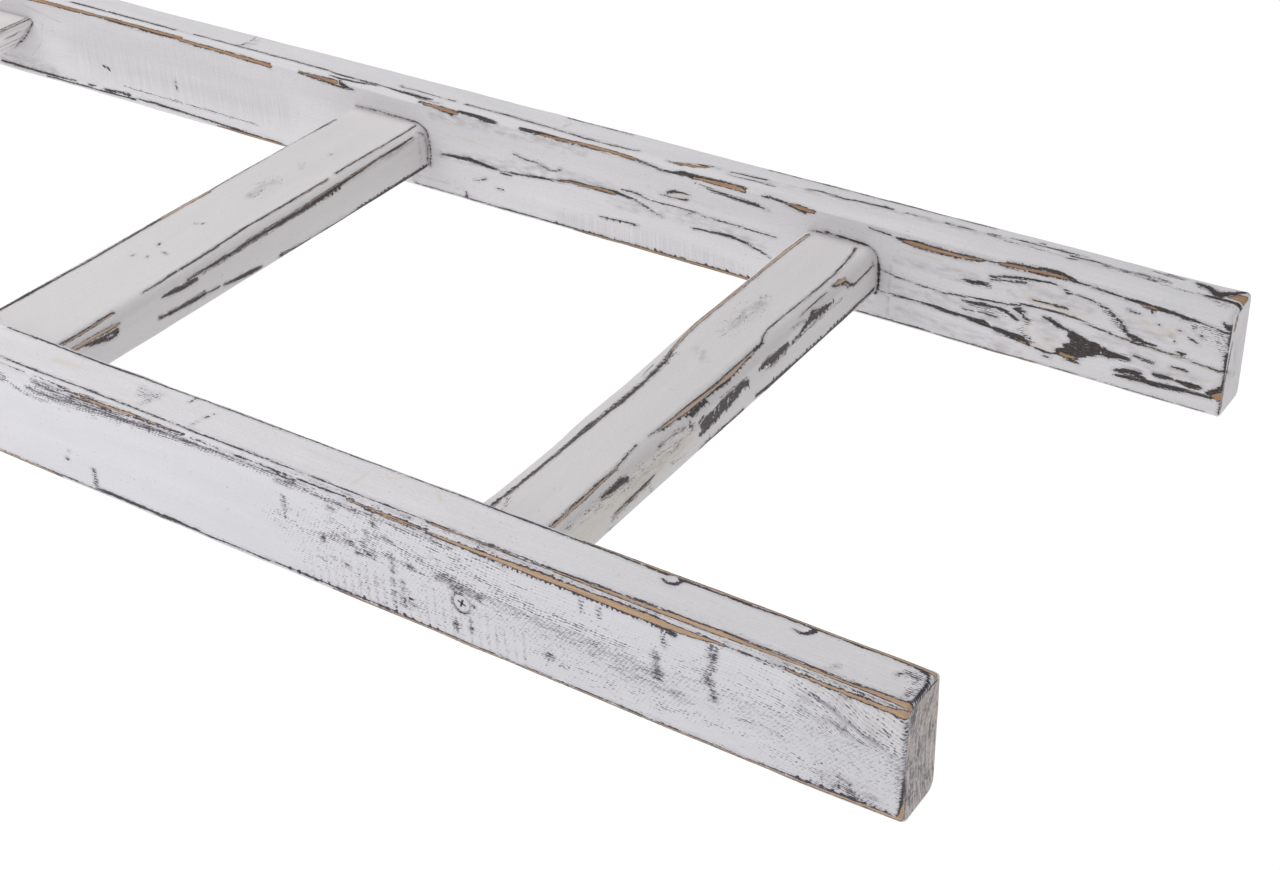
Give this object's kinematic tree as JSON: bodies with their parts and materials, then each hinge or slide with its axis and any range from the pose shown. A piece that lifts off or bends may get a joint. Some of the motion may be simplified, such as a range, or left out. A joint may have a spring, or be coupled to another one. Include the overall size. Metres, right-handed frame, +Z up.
{
  "type": "decorative ladder",
  "caption": "Rustic decorative ladder of distressed white-painted wood, with square rails and flat rungs screwed between them, for hanging blankets or leaning on a wall.",
  "frame": {"origin": "on the floor under the middle of the ladder, which lies on its back edges", "axes": "+X along the ladder to its foot end, +Y across it to the right rail, +Z up through its depth from back to front"},
  "size_m": [1.524, 0.4066, 0.0665],
  "materials": {
    "painted_wood": "white chalk paint over a charcoal undercoat, rubbed through to bare wood along the edges",
    "painted_screw": "steel wood screw painted over with the white paint"
  },
  "bodies": {
    "root": {"left_rail": "painted_wood", "right_rail": "painted_wood", "rung_1": "painted_wood", "rung_2": "painted_wood", "rung_3": "painted_wood", "rung_4": "painted_wood", "left_rail_screws": "painted_screw", "right_rail_screws": "painted_screw"}
  },
  "joints": []
}
